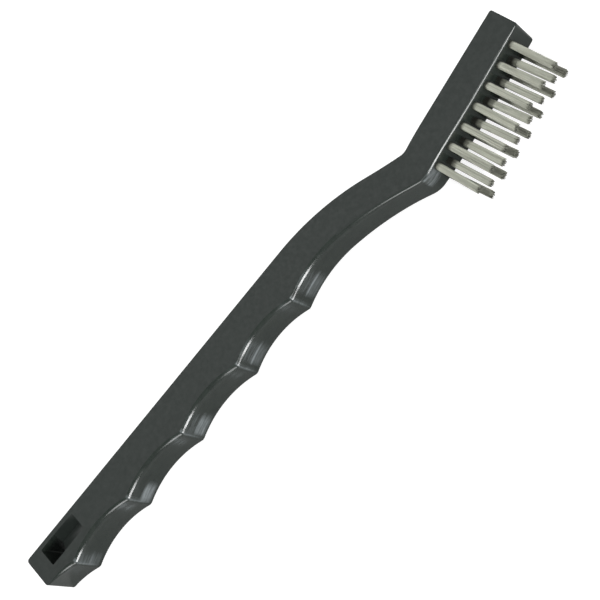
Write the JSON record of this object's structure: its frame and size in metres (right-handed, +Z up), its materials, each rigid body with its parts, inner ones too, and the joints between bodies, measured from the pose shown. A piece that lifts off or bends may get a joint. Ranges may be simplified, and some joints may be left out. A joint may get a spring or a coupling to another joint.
{
  "type": "wire scratch brush",
  "caption": "Hand wire scratch brush: a moulded handle with a finger-hollowed grip, a cranked neck and a narrow head set with staggered rows of short wire tufts.",
  "frame": {"origin": "middle of the footprint, on the surface that the brush lies on with one flat side", "axes": "+X along the grip from the tail to the head, +Y from the bristles to the spine, +Z up across the width"},
  "size_m": [0.1852, 0.0318, 0.0118],
  "materials": {
    "handle_plastic": "fine matte moulded sides, slightly glossier finger side",
    "tuft_wire": "bright drawn wire",
    "anchor_wire": "plain flat wire"
  },
  "bodies": {
    "root": {"handle": "handle_plastic", "tuft_near_1": "tuft_wire", "tuft_near_2": "tuft_wire", "tuft_near_3": "tuft_wire", "tuft_near_4": "tuft_wire", "tuft_near_5": "tuft_wire", "tuft_near_6": "tuft_wire", "tuft_near_7": "tuft_wire", "tuft_middle_1": "tuft_wire", "tuft_middle_2": "tuft_wire", "tuft_middle_3": "tuft_wire", "tuft_middle_4": "tuft_wire", "tuft_middle_5": "tuft_wire", "tuft_middle_6": "tuft_wire", "tuft_far_1": "tuft_wire", "tuft_far_2": "tuft_wire", "tuft_far_3": "tuft_wire", "tuft_far_4": "tuft_wire", "tuft_far_5": "tuft_wire", "tuft_far_6": "tuft_wire", "tuft_far_7": "tuft_wire", "anchor_near_1": "anchor_wire", "anchor_near_2": "anchor_wire", "anchor_near_3": "anchor_wire", "anchor_near_4": "anchor_wire", "anchor_near_5": "anchor_wire", "anchor_near_6": "anchor_wire", "anchor_near_7": "anchor_wire", "anchor_middle_1": "anchor_wire", "anchor_middle_2": "anchor_wire", "anchor_middle_3": "anchor_wire", "anchor_middle_4": "anchor_wire", "anchor_middle_5": "anchor_wire", "anchor_middle_6": "anchor_wire", "anchor_far_1": "anchor_wire", "anchor_far_2": "anchor_wire", "anchor_far_3": "anchor_wire", "anchor_far_4": "anchor_wire", "anchor_far_5": "anchor_wire", "anchor_far_6": "anchor_wire", "anchor_far_7": "anchor_wire"}
  },
  "joints": []
}
